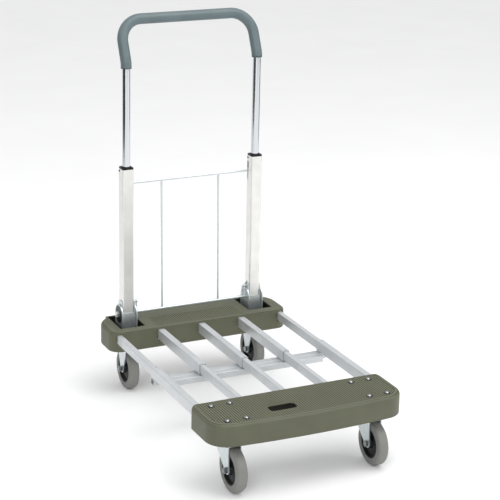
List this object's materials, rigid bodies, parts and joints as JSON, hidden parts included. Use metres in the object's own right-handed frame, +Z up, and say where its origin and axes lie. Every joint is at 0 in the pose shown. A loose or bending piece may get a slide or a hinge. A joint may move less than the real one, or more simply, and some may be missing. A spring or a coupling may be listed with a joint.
{
  "type": "platform trolley",
  "caption": "Flat hand trolley: telescoping rail platform with two moulded decks, folding telescopic push handle with wire back, fixed and swivel castors.",
  "frame": {"origin": "middle of the footprint on the floor with the platform pulled out", "axes": "+X to the right, +Y from the front deck towards the handle, +Z up"},
  "size_m": [0.464, 0.728, 0.9087],
  "materials": {
    "deck_plastic": "matte olive-grey moulding with fine grain",
    "aluminium": "satin anodised extrusion",
    "zinc_steel": "bright zinc plate",
    "chrome": "polished",
    "grip": "smooth slate-grey sleeve",
    "black_plastic": "semi-gloss black",
    "tyre": "grey non-marking rubber",
    "bearing_steel": "ground"
  },
  "bodies": {
    "rear_frame": {"rear_deck": "deck_plastic", "rear_rail_1": "aluminium", "rear_rail_2": "aluminium", "rear_rail_3": "aluminium", "rear_rail_4": "aluminium", "rear_rail_5": "aluminium", "rear_crossbar": "aluminium", "rear_frame_screws": "zinc_steel", "hinge_bracket_left": "zinc_steel", "hinge_bracket_right": "zinc_steel", "hinge_rod": "zinc_steel", "hinge_rod_nuts": "zinc_steel", "rear_fork_left": "zinc_steel", "rear_fork_right": "zinc_steel", "rear_axle_bolts": "zinc_steel", "rear_castor_bolts": "zinc_steel"},
    "rear_wheel_left": {"rear_hub_left": "black_plastic", "rear_tyre_left": "tyre"},
    "rear_wheel_right": {"rear_hub_right": "black_plastic", "rear_tyre_right": "tyre"},
    "front_frame": {"front_deck": "deck_plastic", "front_rail_1": "aluminium", "front_rail_2": "aluminium", "front_rail_3": "aluminium", "front_rail_4": "aluminium", "front_rail_5": "aluminium", "front_crossbar": "aluminium", "front_frame_screws": "zinc_steel", "front_castor_plate_left": "zinc_steel", "front_castor_plate_right": "zinc_steel", "front_castor_bolts": "zinc_steel", "front_kingpins": "zinc_steel", "front_bearing_balls": "bearing_steel"},
    "front_swivel_left": {"front_fork_left": "zinc_steel", "front_dust_ring_left": "black_plastic", "front_axle_left": "zinc_steel"},
    "front_swivel_right": {"front_fork_right": "zinc_steel", "front_dust_ring_right": "black_plastic", "front_axle_right": "zinc_steel"},
    "front_wheel_left": {"front_hub_left": "black_plastic", "front_tyre_left": "tyre"},
    "front_wheel_right": {"front_hub_right": "black_plastic", "front_tyre_right": "tyre"},
    "handle_frame": {"upright_left": "aluminium", "upright_right": "aluminium", "shoe_left": "zinc_steel", "shoe_right": "zinc_steel", "upright_bushing_left": "black_plastic", "upright_bushing_right": "black_plastic", "shoe_rivets": "zinc_steel", "release_spring_left": "zinc_steel", "release_spring_right": "zinc_steel"},
    "release": {"wire_frame": "zinc_steel", "latch_bar_left": "zinc_steel", "latch_bar_right": "zinc_steel"},
    "telescope": {"handle_tube": "chrome", "handle_grip": "grip", "handle_glides": "black_plastic"}
  },
  "joints": [
    {"name": "platform_extend", "type": "slide", "parent": "rear_frame", "child": "front_frame", "axis": [0, 1, 0], "range_m": [0, 0.204]},
    {"name": "handle_fold", "type": "hinge", "parent": "rear_frame", "child": "handle_frame", "pos_m": [0, 0.303, 0.188], "axis": [1, 0, 0], "range_deg": [0, 90]},
    {"name": "handle_telescope", "type": "slide", "parent": "handle_frame", "child": "telescope", "axis": [0, 0, 1], "range_m": [-0.231, 0]},
    {"name": "release_lift", "type": "slide", "parent": "handle_frame", "child": "release", "axis": [0, 0, 1], "range_m": [0, 0.009], "stiffness_N_per_m": 600, "springref_m": -0.02, "deforming": ["release_spring_left", "release_spring_right"]},
    {"name": "front_swivel_left", "type": "hinge", "parent": "front_frame", "child": "front_swivel_left", "pos_m": [-0.17, -0.287, 0.106], "axis": [0, 0, 1], "continuous": true},
    {"name": "front_swivel_right", "type": "hinge", "parent": "front_frame", "child": "front_swivel_right", "pos_m": [0.17, -0.287, 0.106], "axis": [0, 0, 1], "continuous": true},
    {"name": "front_wheel_spin_left", "type": "hinge", "parent": "front_swivel_left", "child": "front_wheel_left", "pos_m": [-0.17, -0.317, 0.05], "axis": [1, 0, 0], "continuous": true},
    {"name": "front_wheel_spin_right", "type": "hinge", "parent": "front_swivel_right", "child": "front_wheel_right", "pos_m": [0.17, -0.317, 0.05], "axis": [1, 0, 0], "continuous": true},
    {"name": "rear_wheel_spin_left", "type": "hinge", "parent": "rear_frame", "child": "rear_wheel_left", "pos_m": [-0.168, 0.293, 0.05], "axis": [1, 0, 0], "continuous": true},
    {"name": "rear_wheel_spin_right", "type": "hinge", "parent": "rear_frame", "child": "rear_wheel_right", "pos_m": [0.168, 0.293, 0.05], "axis": [1, 0, 0], "continuous": true}
  ]
}
